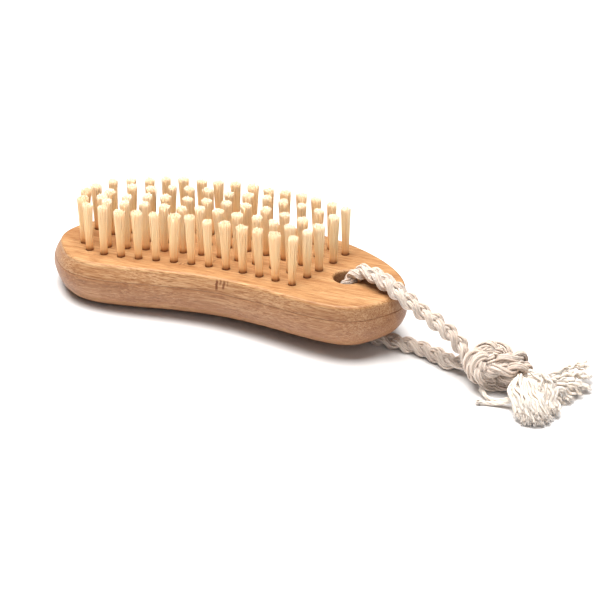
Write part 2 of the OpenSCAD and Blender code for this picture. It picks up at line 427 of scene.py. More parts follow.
def bamboo(name, light, mid, dark, side_tone_and_shade, marks, grain_seed, painted_glint):
    """Laminated bamboo: straight fibre bundles along X, which show as streaks on the
    face and sides and as dots on the ends, under a satin lacquer."""
    k = Mat(name)
    co = k.attr("bco")
    x, y, z = k.split(co)
    wander = k.noise(k.scaled(co, (0.03, 0.05, 0.05)), 1.0, 2)
    y2 = k.math("ADD", y, k.math("MULTIPLY", wander, 2.4))
    ys = k.math("ADD", y2, grain_seed)
    fib = k.join(k.math("MULTIPLY", x, 0.030), ys, z)
    short = k.join(k.math("MULTIPLY", x, 0.055), ys, z)
    broad = k.noise(fib, 0.20, 3, 0.5)
    medium = k.noise(fib, 1.15, 4, 0.66)
    fine = k.noise(fib, 2.0, 3, 0.7)
    dash = k.noise(short, 2.6, 2, 0.6)
    col = k.ramp(
        k.math("ADD", k.math("MULTIPLY", broad, 0.5), k.math("MULTIPLY", medium, 0.5)),
        [(0.39, dark), (0.49, mid), (0.59, light)],
    )
    deep = tuple(c * f for c, f in zip(dark, (0.80, 0.66, 0.55)))
    col = k.mix(k.range(fine, 0.45, 0.57, 0.0, 0.75), col, tuple(c * f for c, f in zip(mid, (0.80, 0.68, 0.58))))
    col = k.mix(k.range(dash, 0.54, 0.61, 0.0, 0.66, True), col, deep)
    # vascular bundles: short dark dashes along the grain, dots across it
    cells = k.voronoi(k.join(k.math("MULTIPLY", x, 0.085), k.math("ADD", ys, 31.0), z), 1.35)
    dots = k.range(cells, 0.10, 0.24, 1.0, 0.0, True)
    sparse = k.range(k.noise(short, 0.5, 2), 0.42, 0.62, 0.15, 1.0)
    dots = k.math("MULTIPLY", dots, sparse)
    col = k.mix(k.math("MULTIPLY", dots, 0.5), col, tuple(c * 0.5 for c in deep))
    streak = k.range(k.noise(short, 3.1, 2, 0.5), 0.56, 0.66, 0.0, 0.45, True)
    col = k.mix(streak, col, tuple(min(1, c * f) for c, f in zip(light, (1.24, 1.18, 1.12))))
    # painted highlight: pale satin glints painted into the colour where a fibre bundle would catch the light
    glint = k.range(k.noise(k.join(k.math("MULTIPLY", x, 0.42), ys, k.math("MULTIPLY", z, 1.6)), 2.6, 2, 0.5), 0.68, 0.74, 0.0, painted_glint, True)
    col = k.mix(glint, col, srgb(214, 186, 156))
    # the sides are darker than the sanded face: partly their own browner grain, partly painted shade for the weaker
    # light that falls on them
    col = k.mix(k.range(z, -0.9, -1.7, 0.0, 1.0, True), col, k.mix(1.0, col, side_tone_and_shade, "MULTIPLY"))
    # the culm's nodes: patches of short dark strokes that cross the grain
    wobble = k.math("ADD", x, k.range(k.noise(k.scaled(co, (0.3, 0.9, 0.9)), 1.0, 2), 0.3, 0.7, -0.20, 0.20))
    for nx, ny, nz, hx, hy, hz, ink in marks:
        near = 1.0
        for v, c, h in ((wobble, nx, hx), (y, ny, hy), (z, nz, hz)):
            gap = k.math("ABSOLUTE", k.math("SUBTRACT", v, c))
            near = k.math("MULTIPLY", near, k.range(gap, h * 0.45, h, 1.0, 0.0, True))
        col = k.mix(k.math("MULTIPLY", near, ink), col, srgb(96, 48, 22))
    # glue line between the boards
    glue = k.range(k.math("ABSOLUTE", k.math("ADD", z, UPPER)), 0.08, 0.34, 1.0, 0.0, True)
    patchy = k.range(k.noise(k.join(k.math("MULTIPLY", x, 0.2), k.math("MULTIPLY", y, 0.2), 0.0), 1.0, 3), 0.3, 0.7, 0.05, 0.42)
    col = k.mix(k.math("MULTIPLY", glue, patchy), col, srgb(104, 66, 42))
    height = k.math("ADD", k.math("MULTIPLY", fine, 0.5), k.math("MULTIPLY", medium, 0.5))
    height = k.math("SUBTRACT", height, k.math("MULTIPLY", dots, 0.35))
    rough = k.range(medium, 0.3, 0.7, 0.42, 0.58)
    return k, col, rough, k.bump(height, 0.25, 0.0002)


# x, y, z and the half sizes of each dark stroke of a node, then how dark it is
NODE_STROKES = [
    (1.7, -24.0, -2.4, 0.66, 6.0, 2.3, 0.92),
    (3.1, -24.0, -1.3, 0.48, 6.0, 1.2, 0.66),
    (4.4, -24.0, -2.0, 0.58, 6.0, 1.9, 0.80),
    (5.8, -24.0, -1.3, 0.42, 6.0, 1.2, 0.50),
    (-14.9, -18.9, 0.0, 0.50, 1.5, 1.0, 0.50),
    (-13.5, -18.4, 0.0, 0.42, 1.1, 1.0, 0.42),
    (-6.0, -13.2, 0.0, 0.44, 1.3, 1.0, 0.42),
    (-4.5, -12.6, 0.0, 0.40, 1.4, 1.0, 0.46),
]


def make_wood_face():
    k, col, rough, nor = bamboo(
        "bamboo_face", srgb(193, 153, 109), srgb(174, 131, 88), srgb(144, 97, 60), (0.84, 0.82, 0.88),
        NODE_STROKES, 0.0, 0.0)
    return k.set(color=col, rough=rough, normal=nor, spec=0.32, coat=0.06, coat_rough=0.40)


def make_wood_back():
    k, col, rough, nor = bamboo(
        "bamboo_back", srgb(180, 138, 99), srgb(165, 119, 81), srgb(138, 95, 63), (0.90, 0.89, 0.90),
        [], 57.0, 0.55)
    return k.set(color=col, rough=rough, normal=nor, spec=0.34, coat=0.08, coat_rough=0.40)


def make_bristle():
    k = Mat("nylon_bristle")
    h = k.attr("hgt", "Fac")
    tint = k.attr("tint", "Fac")
    # painted shade: the colour darkens toward the foot of each filament, down in its hole and between the tufts; the
    # cut tips are paler
    col = k.ramp(h, [
        (0.0, srgb(140, 88, 56)), (0.045, srgb(216, 162, 112)), (0.12, srgb(255, 215, 160)),
        (0.50, srgb(255, 230, 185)), (0.90, srgb(255, 231, 192)), (0.965, srgb(254, 233, 202)), (1.0, srgb(253, 236, 214)),
    ])
    col = k.mix(k.math("MULTIPLY", tint, 0.25), col, k.mix(1.0, col, (0.93, 0.74, 0.58), "MULTIPLY"))
    return k.set(color=col, rough=0.42, spec=0.35, sss=0.15, radius=(1.0, 0.85, 0.70), sss_scale=0.0006)


def make_wire():
    k = Mat("staple_wire")
    co = k.node("ShaderNodeTexCoord").outputs["Object"]
    n = k.noise(co, 2600, 2)
    col = k.mix(n, srgb(150, 148, 142), srgb(178, 176, 170))
    return k.set(color=col, rough=k.range(n, 0.3, 0.7, 0.28, 0.42), metal=1.0)


def make_cotton(name, light, shade):
    k = Mat(name)
    uv = k.node("ShaderNodeUVMap", uv_map="along").outputs[0]
    u, v, _ = k.split(uv)
    # v runs along the yarn in mm, u round it from 0 to 1
    ang = k.math("MULTIPLY", u, 2 * math.pi)
    around = k.join(k.math("MULTIPLY", k.math("COSINE", ang), 0.5), k.math("MULTIPLY", k.math("SINE", ang), 0.5), k.math("MULTIPLY", v, 0.22))
    fibres = k.noise(around, 5.5, 4, 0.7)
    slow = k.noise(k.join(0.0, 0.0, k.math("MULTIPLY", v, 0.35)), 1.0, 2)
    twist = k.math("SINE", k.math("ADD", k.math("MULTIPLY", v, 3.3), k.math("MULTIPLY", u, 4 * math.pi)))
    tint = k.attr("tint", "Fac")
    col = k.mix(k.range(fibres, 0.35, 0.65, 0.0, 1.0), shade, light)
    # painted shade: yarns with a high tint are darkened; the plait's yarns get a high tint and the loose ends a low
    # one, so the plait is coloured darker than its ends, with some random tone from yarn to yarn
    col = k.mix(k.math("MULTIPLY", tint, 0.85), col, k.mix(1.0, col, (0.64, 0.60, 0.595), "MULTIPLY"))
    # painted shade: the grooves of the yarn's twist are darkened
    col = k.mix(k.range(twist, -1.0, -0.3, 0.22, 0.0), col, k.mix(1.0, col, (0.66, 0.62, 0.58), "MULTIPLY"))
    speck = k.range(k.noise(around, 16, 1), 0.70, 0.78, 0.0, 0.4)
    col = k.mix(speck, col, srgb(186, 152, 112))
    height = k.math("ADD", k.math("MULTIPLY", fibres, 0.7), k.math("MULTIPLY", twist, 0.22))
    return k.set(color=col, rough=0.92, normal=k.bump(height, 0.55, 0.00025), spec=0.2,
                 sheen=0.25, sheen_rough=0.5, sss=0.55, radius=(1.0, 0.90, 0.80), sss_scale=0.0016)


WOOD_FACE, WOOD_BACK = make_wood_face(), make_wood_back()
BRISTLE, WIRE = make_bristle(), make_wire()
COTTON = make_cotton("cotton_rope", srgb(241, 230, 217), srgb(232, 213, 197))


# ---------------------------------------------------------------------------
# The two boards
# ---------------------------------------------------------------------------
def corner(p, q=1.75):
    """Quarter of a squarish oval at share p: 0 at the side, 1 at the back."""
    a = p * math.pi / 2
    return math.cos(a) ** (2 / q), math.sin(a) ** (2 / q)


def board_upper():
    b = Build()
    rings = [body_ring(-EDGE - 0.35, 0, 0)]
    rings += [body_ring(EDGE * (math.sin(a) - 1), 0, EDGE * (math.cos(a) - 1)) for a in np.linspace(0, math.pi / 2, 11)]
    rings += [body_ring(0, swell_share(z), z) for z in (-1.6, -2.2, -2.9, -3.6, -4.3, -4.9, -5.12)]
    rings += [body_ring(f, swell_share(z), z) for f, z in ((-0.03, -5.2), (-0.10, -5.26), (-0.28, -5.295))]
    n = len(RING_T)
    s = stack(b, rings)
    holes, round_holes = [], []
    for places in ROWS.values():
        for q in places:
            c = bent(q)
            hr = [circle(*c, r, z, 20) for r, z in ((1.72, 0), (1.55, -0.02), (1.49, -0.10), (1.47, -0.35), (1.47, -3.2))]
            hs = stack(b, hr, flip=True)
            base = b.add([[c[0], c[1], -3.2]], [], bco=[[c[0], c[1], -3.2]])
            b.f.extend([(hs[-1] + i, hs[-1] + (i + 1) % 20, base) for i in range(20)])
            holes.append((hs[0], 20))
            round_holes.append((*c, 1.72 * math.cos(math.pi / 20)))
    c = bent(HOLE_AT)
    rim = [(HOLE_R + 1.35, 0)] + [(HOLE_R + 0.9 * (1 - math.cos(a)), 0.9 * (math.sin(a) - 1)) for a in np.linspace(math.pi / 2, 0, 8)]
    hr = [circle(*c, r, z, 72) for r, z in rim] + [circle(*c, HOLE_R, z, 72) for z in (-2.0, -3.5, -5.295)]
    hs = stack(b, hr, flip=True)
    cap(b, [(s[0], n)] + holes + [(hs[0], 72)], True, round_holes + [(*c, HOLE_R + 1.35)])
    cap(b, [(s[-1], n), (hs[-1], 72)], False, [(*c, HOLE_R)])
    return b.make("upper_board_wood", WOOD_FACE, to_row=lay)


def board_lower():
    b = Build()
    rings = [body_ring(f, swell_share(z), z) for f, z in ((-0.28, -5.305), (-0.10, -5.34), (-0.03, -5.40))]
    rings += [body_ring(0, swell_share(z), z) for z in (-5.5, -5.9, -6.5, -7.1, -7.8, -SWELL_DEPTH)]
    for p in np.linspace(0, 1, 27)[1:]:
        u, v = corner(p)
        rings.append(body_ring(BACK_ROUND * (u - 1), 1, -SWELL_DEPTH - (THICK - SWELL_DEPTH) * v))
    rings.append(body_ring(-BACK_ROUND - 0.5, 1, -THICK))
    n = len(RING_T)
    s = stack(b, rings)
    c = bent(HOLE_AT)
    hr = [circle(*c, HOLE_R, z, 72) for z in (-5.305, -9, -13, -THICK + 1.0)]
    hr += [circle(*c, HOLE_R + 0.9 * (1 - math.cos(a)), -THICK + 0.9 * (1 - math.sin(a)), 72) for a in np.linspace(0, math.pi / 2, 8)[1:]]
    hr += [circle(*c, HOLE_R + 1.35, -THICK, 72)]
    hs = stack(b, hr, flip=True)
    cap(b, [(s[0], n), (hs[0], 72)], True, [(*c, HOLE_R)])
    cap(b, [(s[-1], n), (hs[-1], 72)], False, [(*c, HOLE_R + 1.35)])
    return b.make("lower_board_wood", WOOD_BACK, to_row=lay)


upper = board_upper()
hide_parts("upper_board")
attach(upper, "brush")
lower = board_lower()
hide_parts("lower_board")
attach(lower, "brush")


# ---------------------------------------------------------------------------
# Tubes: yarns and filaments
# ---------------------------------------------------------------------------
def frames(p, first=None):
    """Tangent, side and up vectors that turn as little as possible along the points."""
    t = np.gradient(p, axis=0)
    t /= np.linalg.norm(t, axis=1)[:, None]
    s = np.zeros_like(p)
    ref = np.array([0.0, 0.0, 1.0]) if first is None else np.array(first, float)
    if abs(ref @ t[0]) > 0.95:
        ref = np.array([1.0, 0.0, 0.0])
    s[0] = np.cross(t[0], ref)
    s[0] /= np.linalg.norm(s[0])
    for i in range(1, len(p)):
        v = s[i - 1] - (s[i - 1] @ t[i]) * t[i]
        s[i] = v / np.linalg.norm(v)
    return t, s, np.cross(t, s)


def tube(build, p, r, sides=8, start=True, end=True, tint=0.0, v0=0.0):
    """A tube of radius r (a number or one for each point) with its ends closed."""
    p = np.asarray(p, float)
    n = len(p)
    r = np.broadcast_to(np.asarray(r, float), (n,))
    _, s, u = frames(p)
    a = np.arange(sides) * 2 * math.pi / sides
    v = p[:, None] + r[:, None, None] * (np.cos(a)[None, :, None] * s[:, None] + np.sin(a)[None, :, None] * u[:, None])
    along = v0 + np.concatenate([[0], np.cumsum(np.linalg.norm(np.diff(p, axis=0), axis=1))])
    faces, uvs = [], []
    for i in range(n - 1):
        for j in range(sides):
            k = (j + 1) % sides
            faces.append((i * sides + j, i * sides + k, (i + 1) * sides + k, (i + 1) * sides + j))
            uvs += [(j / sides, along[i]), ((j + 1) / sides, along[i]), ((j + 1) / sides, along[i + 1]), (j / sides, along[i + 1])]
    if start:
        faces.append(tuple(range(sides))[::-1])
        uvs += [(j / sides, along[0]) for j in range(sides)][::-1]
    if end:
        faces.append(tuple((n - 1) * sides + j for j in range(sides)))
        uvs += [(j / sides, along[-1]) for j in range(sides)]
    build.add(v.reshape(-1, 3), faces, uvs, tint=np.full(n * sides, tint))


# ---------------------------------------------------------------------------
# Tufts: folded bundles of nylon filaments
# ---------------------------------------------------------------------------
FILAMENTS, FIL_R = 54, 0.175


def disc(count, radius):
    i = np.arange(count) + 0.5
    r, t = radius * np.sqrt(i / count), i * 2.39996323
    return np.stack([r * np.cos(t), r * np.sin(t)], 1)


def tuft_row(name, places, seed):
    """Each tuft as its filaments, round a solid heart of filaments packed too tight to see between."""
    rng = np.random.default_rng(seed)
    b = Build()
    level = np.array([-2.6, 0.0, 2.6, 6.5, 10.5, 14.0, 17.0])
    # painted shade: the front row is coloured darker than the rest, evening out the extra light it gets over the back
    # rows
    front_row_painted_shade = 1.7 if name == "tuft_row_front" else 0.0

    def stalk(c, xy, z, r, top, sides, tint):
        a = np.arange(sides) * 2 * math.pi / sides
        p = np.column_stack([c[0] + xy[:, 0], c[1] + xy[:, 1], z])
        v = p[:, None] + r[:, None, None] * np.stack([np.cos(a), np.sin(a), np.zeros(sides)], 1)[None]
        n = len(z)
        faces = []
        for i in range(n - 1):
            faces += [(i * sides + j, i * sides + (j + 1) % sides, (i + 1) * sides + (j + 1) % sides, (i + 1) * sides + j) for j in range(sides)]
        faces.append(tuple(range(sides))[::-1])
        faces.append(tuple((n - 1) * sides + j for j in range(sides)))
        b.add(v.reshape(-1, 3), faces, hgt=np.repeat(np.clip(z / top, 0, 1), sides), tint=np.full(n * sides, tint))

    for q in places:
        c = bent(q)
        flare = rng.uniform(1.36, 1.70)
        lean = rng.normal(0, 0.34, 2)
        tall = TUFT_H + rng.normal(0, 0.22)
        oval_x = rng.uniform(0.92, 1.12)
        base = disc(FILAMENTS, 1.22) @ np.array([[math.cos(t0 := rng.uniform(0, 6.28)), math.sin(t0)], [-math.sin(t0), math.cos(t0)]])
        base += rng.normal(0, 0.03, base.shape)
        for p0 in base:
            rim = float(np.hypot(*p0)) / 1.22
            top = tall + rng.normal(0, 0.15) - 0.55 * rim**3
            stray = rng.normal(0, 0.09, 2) * (3.2 if rng.random() < 0.05 else 1.0)
            z = np.concatenate([level * (top / TUFT_H), [top - 0.14, top]])
            z[0] = -2.6
            s = np.clip(z / top, 0, 1)
            grow = (1 + (flare - 1) * s**1.25)[:, None]
            xy = p0 * grow * np.array([1 + (oval_x - 1), 1 / oval_x]) ** s[:, None] + lean * (s**1.5)[:, None] + stray * (s**2)[:, None]
            r = np.full(len(z), FIL_R)
            r[-1] = FIL_R * 0.55
            stalk(c, xy, z, r, top, 6, rng.random() + front_row_painted_shade)
        z = np.append(level[:-1], tall - 1.3)
        s = np.clip(z / tall, 0, 1)
        stalk(c, lean * (s**1.5)[:, None], z, 0.97 * (1 + (flare * 0.93 - 1) * s**1.25), tall, 12, 0.4 + front_row_painted_shade)
    ob = b.make(name + "_filaments", BRISTLE, to_row=lay)
    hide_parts(name)
    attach(ob, "brush")
    return ob


for i, (key, places) in enumerate(ROWS.items()):
    tuft_row("tuft_row_" + key, places, 11 + i)
for key in ROWS:
    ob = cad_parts["staples_" + key]
    ob.data.materials.clear()
    ob.data.materials.append(WIRE)


# ---------------------------------------------------------------------------
# The rope: one plaited cotton cord through the hole, its two ends tied together
# ---------------------------------------------------------------------------
# The same route as the imported rope's, in row-frame millimetres, between
# the two mouths of the knot.
ROUTE = np.array([
    [88.5, -15.7, 13.8], [84, -15.2, 16.4], [76, -14.6, 20.6], [69, -14, 24.4],
    [63, -11.5, 26.5], [57, -8.5, 27], [53, -6.6, 27], [49.5, -5.2, 25.8], [46.3, -4.6, 22.8],
    [45, -4.5, 18.5], [44.9, -4.5, 13.5], [45, -4.5, 9.5], [45.6, -4.5, 6.2],
    [47.4, -4.6, 3.4], [50.5, -5, 2.2], [54, -5.6, 2], [60, -6.6, 2.2], [66, -7.3, 2.4],
    [72, -7.6, 2.4], [78, -9, 2.4], [84, -11.6, 2.6], [88, -13.8, 3.2],
], float)
ROPE_D = 4.4


def resample(p, step=None, count=None):
    s = np.concatenate([[0], np.cumsum(np.linalg.norm(np.diff(p, axis=0), axis=1))])
    if count is None:
        count = max(3, int(round(s[-1] / step)) + 1)
    w = np.linspace(0, s[-1], count)
    return np.stack([np.interp(w, s, p[:, k]) for k in range(3)], 1)


def through(points, per=12):
    """A smooth line through the points."""
    p = np.asarray(points, float)
    p = np.vstack([2 * p[0] - p[1], p, 2 * p[-1] - p[-2]])
    out = []
    for i in range(1, len(p) - 2):
        for t in np.arange(per) / per:
            a, b, c, d = p[i - 1:i + 3]
            out.append(0.5 * (2 * b + (c - a) * t + (2 * a - 5 * b + 4 * c - d) * t * t + (3 * b - a - 3 * c + d) * t**3))
    out.append(p[-2])
    return np.array(out)


def relax(ropes, d, rounds, pull, near, step=1.5):
    """Ropes pulled straight between their fixed ends, while no two stretches of rope
    come closer than d. near is how many beads along one rope don't push each other."""
    ropes = [r.copy() for r in ropes]
    for _ in range(rounds):
        ropes = [resample(r, step) for r in ropes]
        p = np.concatenate(ropes)
        who = np.concatenate([np.full(len(r), i) for i, r in enumerate(ropes)])
        idx = np.concatenate([np.arange(len(r)) for r in ropes])
        ends = np.concatenate([(np.arange(len(r)) < 2) | (np.arange(len(r)) >= len(r) - 2) for r in ropes])
        lap = np.zeros_like(p)
        lap[1:-1] = (p[2:] + p[:-2]) / 2 - p[1:-1]
        lap[ends] = 0
        p = p + pull * lap
        skip = (who[:, None] == who[None]) & (np.abs(idx[:, None] - idx[None]) < near)
        for _ in range(3):
            v = p[:, None] - p[None]
            l2 = (v**2).sum(2)
            i, j = np.nonzero((l2 < d * d) & ~skip)
            v = v[i, j]
            l = np.sqrt(l2[i, j])
            mv = np.zeros_like(p)
            np.add.at(mv, i, (0.4 * (d - l) / np.maximum(l, 1e-6))[:, None] * v)
            mv /= np.maximum(1, np.bincount(i, minlength=len(p)))[:, None] ** 0.6
            mv[ends] = 0
            p = p + mv
        out, at = [], 0
        for r in ropes:
            out.append(p[at:at + len(r)])
            at += len(r)
        ropes = out
    return ropes


def overhand(d):
    """Two cords of diameter d tied side by side in one overhand knot whose axis is X."""
    t = np.linspace(-2.2, 2.2, 300)
    x, y, z = t**3 - 3 * t, t**5 - 10 * t, t**4 - 4 * t**2
    c = np.stack([y * 0.55, x * 3.0, -z * 2.0], 1)
    a = np.linspace(c[0] + [-14, 0, 0], c[0], 20, endpoint=False)
    b = np.linspace(c[-1], c[-1] + [14, 0, 0], 21)[1:]
    a[:, 1:] *= np.linspace(0, 1, 20)[:, None]
    b[:, 1:] *= np.linspace(1, 0, 20)[:, None]
    core = relax([np.concatenate([a, c, b])], d * 1.30, 260, 0.9, 6)[0]
    tan = np.gradient(core, axis=0)
    tan /= np.linalg.norm(tan, axis=1)[:, None]
    s = np.zeros_like(core)
    s[0] = [0, 1, 0]
    for i in range(1, len(core)):
        v = s[i - 1] - (s[i - 1] @ tan[i]) * tan[i]
        s[i] = v / np.linalg.norm(v)
    return relax([core + s * d * 0.5, core - s * d * 0.5], d, 260, 0.8, 4)


KNOT_AT = np.array([104.6, -19.6, 8.2])
KNOT_AXIS = np.array([20.0, -6.8, -0.6])
KNOT_AXIS /= np.linalg.norm(KNOT_AXIS)
KNOT_ROLL = math.radians(352)
KNOT_STRETCH = (0.90, 0.68)      # along the axis, and upright


def placed(p):
    """Knot coordinates to the row frame."""
    side = np.cross([0, 0, 1.0], KNOT_AXIS)
    side /= np.linalg.norm(side)
    upw = np.cross(KNOT_AXIS, side)
    c, s = math.cos(KNOT_ROLL), math.sin(KNOT_ROLL)
    y, z = p[:, 1:2] * c - p[:, 2:3] * s, p[:, 1:2] * s + p[:, 2:3] * c
    return KNOT_AT + p[:, :1] * KNOT_STRETCH[0] * KNOT_AXIS + y * 0.92 * side + z * upw * KNOT_STRETCH[1]


pair = [p[::-1] * [-1, -1, 1] for p in overhand(4.2)]
core = np.concatenate([p[(np.abs(p[:, 0]) < 8)] for p in pair])
middle = (core.min(0) + core.max(0)) / 2
pair = [p - middle * [1, 1, 1] for p in pair]
OUTLET = 10.5
knots = []
for p in pair:
    keep = np.nonzero(p[:, 0] < OUTLET)[0].max()
    first = np.nonzero(p[:, 0] > -11.5)[0].min()
    knots.append(placed(resample(p[first:keep + 1], 1.2)))
if knots[0][0][2] < knots[1][0][2]:
    knots = knots[::-1]
# outlet of the upper strand's end, the knot, the loop and the knot again, in one line
spine = np.concatenate([knots[0][::-1], ROUTE, knots[1]])
marks = (len(knots[0]), len(knots[0]) + len(ROUTE) - 1)
spine = through(spine, 8)
marks = (marks[0] * 8, marks[1] * 8)
for _ in range(6):
    spine[1:-1] = 0.5 * spine[1:-1] + 0.25 * (spine[2:] + spine[:-2])
seam = (spine[marks[0] - 6].copy(), spine[marks[1] + 6].copy())
spine = resample(spine, 0.62)
cut = [int(np.argmin(np.linalg.norm(spine - s, axis=1))) for s in seam]
STEP = float(np.linalg.norm(np.diff(spine, axis=0), axis=1).mean())

tan = np.gradient(spine, axis=0)
tan /= np.linalg.norm(tan, axis=1)[:, None]
side = np.zeros_like(spine)
mid = (cut[0] + cut[1]) // 2
side[mid] = np.array([0.24, 0.97, 0]) - (np.array([0.24, 0.97, 0]) @ tan[mid]) * tan[mid]
side[mid] /= np.linalg.norm(side[mid])
for order in (range(mid + 1, len(spine)), range(mid - 1, -1, -1)):
    prev = mid
    for i in order:
        v = side[prev] - (side[prev] @ tan[i]) * tan[i]
        if cut[0] <= i <= cut[1]:
            flat = np.array([0.24, 0.97, 0]) - (np.array([0.24, 0.97, 0]) @ tan[i]) * tan[i]
            v = v / np.linalg.norm(v) + 0.25 * flat / np.linalg.norm(flat)
            v -= (v @ tan[i]) * tan[i]
        side[i] = v / np.linalg.norm(v)
        prev = i
updir = np.cross(tan, side)

PITCH, YARNS, YARN_R = 17.0, 12, 0.45
rng = np.random.default_rng(5)
along = np.arange(len(spine)) * STEP
breathe = 1 + 0.05 * np.sin(along * 0.31) + 0.03 * np.sin(along * 0.83 + 1.0)


def strand_line(k):
    """How far a strand's middle stands sideways and upward of the rope's own line."""
    th = 2 * math.pi * (along / PITCH + k / 3)
    return 1.48 * breathe * np.sin(th), np.sin(2 * th)


def flattened(v):
    """The plait's edges are pressed straight, so that its sides hardly scallop."""
    return 1.15 * v / (1 + (np.abs(v) / 2.7) ** 6) ** (1 / 6)


def under(p, r):
    """Yarn kept above the table and below the back of the body where the body presses on it."""
    p[:, 2] = np.maximum(p[:, 2], r)
    roof = 4.25 + (p[:, 0] - 50) * math.tan(TILT) - r
    low = (spine[:, 2] < 3.2) & (spine[:, 0] < 66)
    p[low, 2] = np.minimum(p[low, 2], roof[low])
    return p


yarn_lines = []
for k in range(3):
    across, over = strand_line(k)
    for spot in disc(YARNS, 1.0) + rng.normal(0, 0.03, (YARNS, 2)):
        rad = math.hypot(*spot)
        w = math.atan2(spot[1], spot[0]) + 2 * math.pi * along / 26.0
        # each strand lies flattened against the other two
        sd, ud = across + 1.50 * rad * np.cos(w), over + 1.22 * rad * np.sin(w)
        wob = 0.05 * np.sin(along * rng.uniform(0.6, 1.1) + rng.uniform(0, 6.3))
        p = under(spine + side * flattened(sd)[:, None] + updir * (ud + wob)[:, None], YARN_R)
        # painted shade: the plait's yarns get a high tint, which darkens them against the loose ends
        yarn_lines.append((p, YARN_R * (1 + 0.06 * rng.normal()), rng.uniform(0.7, 1.3)))


def rope_piece(name, i0, i1, sides=8):
    b = Build()
    for p, r, tint in yarn_lines:
        tube(b, p[i0:i1 + 1], r, sides, start=i0 == 0, end=i1 >= len(spine) - 1, tint=tint, v0=i0 * STEP)
    return b.make(name, COTTON)


loop_ob = rope_piece("rope_loop_plait", cut[0], cut[1])
kb = Build()
for p, r, tint in yarn_lines:
    tube(kb, p[:cut[0] + 1], r, 7, start=False, end=False, tint=tint, v0=0)
    tube(kb, p[cut[1]:], r, 7, start=False, end=False, tint=tint, v0=cut[1] * STEP)
knot_ob = kb.make("rope_knot_plait", COTTON)

# ---------------------------------------------------------------------------
# The two unplaited ends
# ---------------------------------------------------------------------------
def wavy(line, amp, wave, seed, grow=True):
    r = np.random.default_rng(seed)
    t, s, u = frames(line)
    step = np.concatenate([[0], np.cumsum(np.linalg.norm(np.diff(line, axis=0), axis=1))])
    a = amp * (np.clip(step / 6, 0, 1) if grow else 1)
    w1, w2 = wave * r.uniform(0.8, 1.25), wave * r.uniform(0.7, 1.3)
    f = a * np.sin(2 * math.pi * step / w1 + r.uniform(0, 6.3))
    g = a * np.sin(2 * math.pi * step / w2 + r.uniform(0, 6.3))
    return line + s * f[:, None] + u * g[:, None]


def tassel(name, starts, dirs, targets, seed, amp, wave, tips):
    """Yarns that leave the knot at starts along dirs, go by way of the control points that
    targets gives for each, and end in short loose fibres."""
    r = np.random.default_rng(seed)
    b = Build()
    places = spread(np.array(starts), dirs[0])
    for i, (s0, d0) in enumerate(zip(starts, dirs)):
        pts = targets(i, r, s0, d0, places[i])
        line = resample(through(pts, 10), 0.62)
        line = wavy(line, amp, wave, seed * 100 + i)
        n = len(line)
        rad = np.full(n, YARN_R * r.uniform(0.72, 1.04))
        rad[-3:] *= (1.05, 1.12, 0.92)
        line[:, 2] = np.maximum(line[:, 2], rad + 0.02)
        # painted light: the loose ends get a low tint, which keeps them paler than the plait
        tint = r.uniform(0.0, 0.22)
        tube(b, line, rad, 7, start=False, tint=tint)
        t_end = line[-1] - line[-4]
        t_end /= np.linalg.norm(t_end)
        for _ in range(tips):
            q = line[-1] + r.normal(0, 0.16, 3)
            d = t_end + r.normal(0, 0.42, 3)
            d /= np.linalg.norm(d)
            far = q + d * r.uniform(0.7, 1.9)
            bend = (q + far) / 2 + r.normal(0, 0.16, 3)
            h = np.array([q, bend, far])
            h[:, 2] = np.maximum(h[:, 2], 0.1)
            tube(b, h, [0.12, 0.10, 0.05], 4, tint=tint)
    return b


def outlet(which):
    """Where the yarns of one end leave the knot, and which way."""
    i = 0 if which == 0 else -1
    sign = -1 if which == 0 else 1
    st = np.array([p[i] for p, _, _ in yarn_lines])
    return st, sign * tan[i]


st0, dir0 = outlet(0)
st1, dir1 = outlet(1)
FRONT, RIGHT = (st0, dir0), (st1, dir1)
if st0.mean(0)[1] > st1.mean(0)[1]:
    FRONT, RIGHT = RIGHT, FRONT


def doubled(st, r, extra):
    """The outlet's yarns and as many more between them as the plies that they open into."""
    more = st[r.integers(0, len(st), extra)] + r.normal(0, 0.45, (extra, 3))
    return np.concatenate([st, more])


def spread(st, d):
    """Where each yarn sits in the bundle that leaves the knot: -1 to 1 toward the front and up."""
    e1 = np.cross(d, [0, 0, 1.0])
    e1 /= np.linalg.norm(e1)
    e2 = np.cross(e1, d)
    m = st - st.mean(0)
    uv = np.stack([m @ e1, m @ e2], 1)
    return uv / np.abs(uv).max(0)


def front_targets(i, r, s0, d0, uv):
    """The nearer end: bends over toward the front and opens in a fan of cut ends."""
    a = np.clip(0.5 - 0.50 * uv[0] + r.normal(0, 0.07), 0, 1)
    h = np.clip(0.5 + 0.50 * uv[1] + r.normal(0, 0.10), 0, 1)
    q = r.normal(0, 0.16, 3)
    phi = math.radians(-132 + 140 * a)
    reach = 1.0 - 0.34 * h**1.5
    fan = np.array([120.0, -31.6, 0]) + [6.6 * reach * math.cos(phi), 6.4 * reach * math.sin(phi), 0.6 + 4.4 * h]
    p1 = s0 + d0 * 1.5 + [0, -0.4, 0.4]
    p2 = np.array([111.8 + 6.4 * a, -24.8 - 1.2 * (1 - a), 6.2 + 5.2 * h]) + q
    p3 = np.array([111.2 + 11.4 * a, -29.2 - 0.8 * h, 4.0 + 5.4 * h]) + q
    p4 = p3 * 0.45 + fan * 0.55 + [0, -0.5, 1.0 + 0.6 * h] + r.normal(0, 0.14, 3)
    return [s0, p1, p2, p3, p4, fan + r.normal(0, 0.35, 3)]


LOCKS = np.array([[132.0, -1.5, 5.5], [133.2, -4.0, 3.4], [134.2, -8.2, 2.0], [132.4, -13.6, 1.6], [129.2, -18.6, 1.4]])


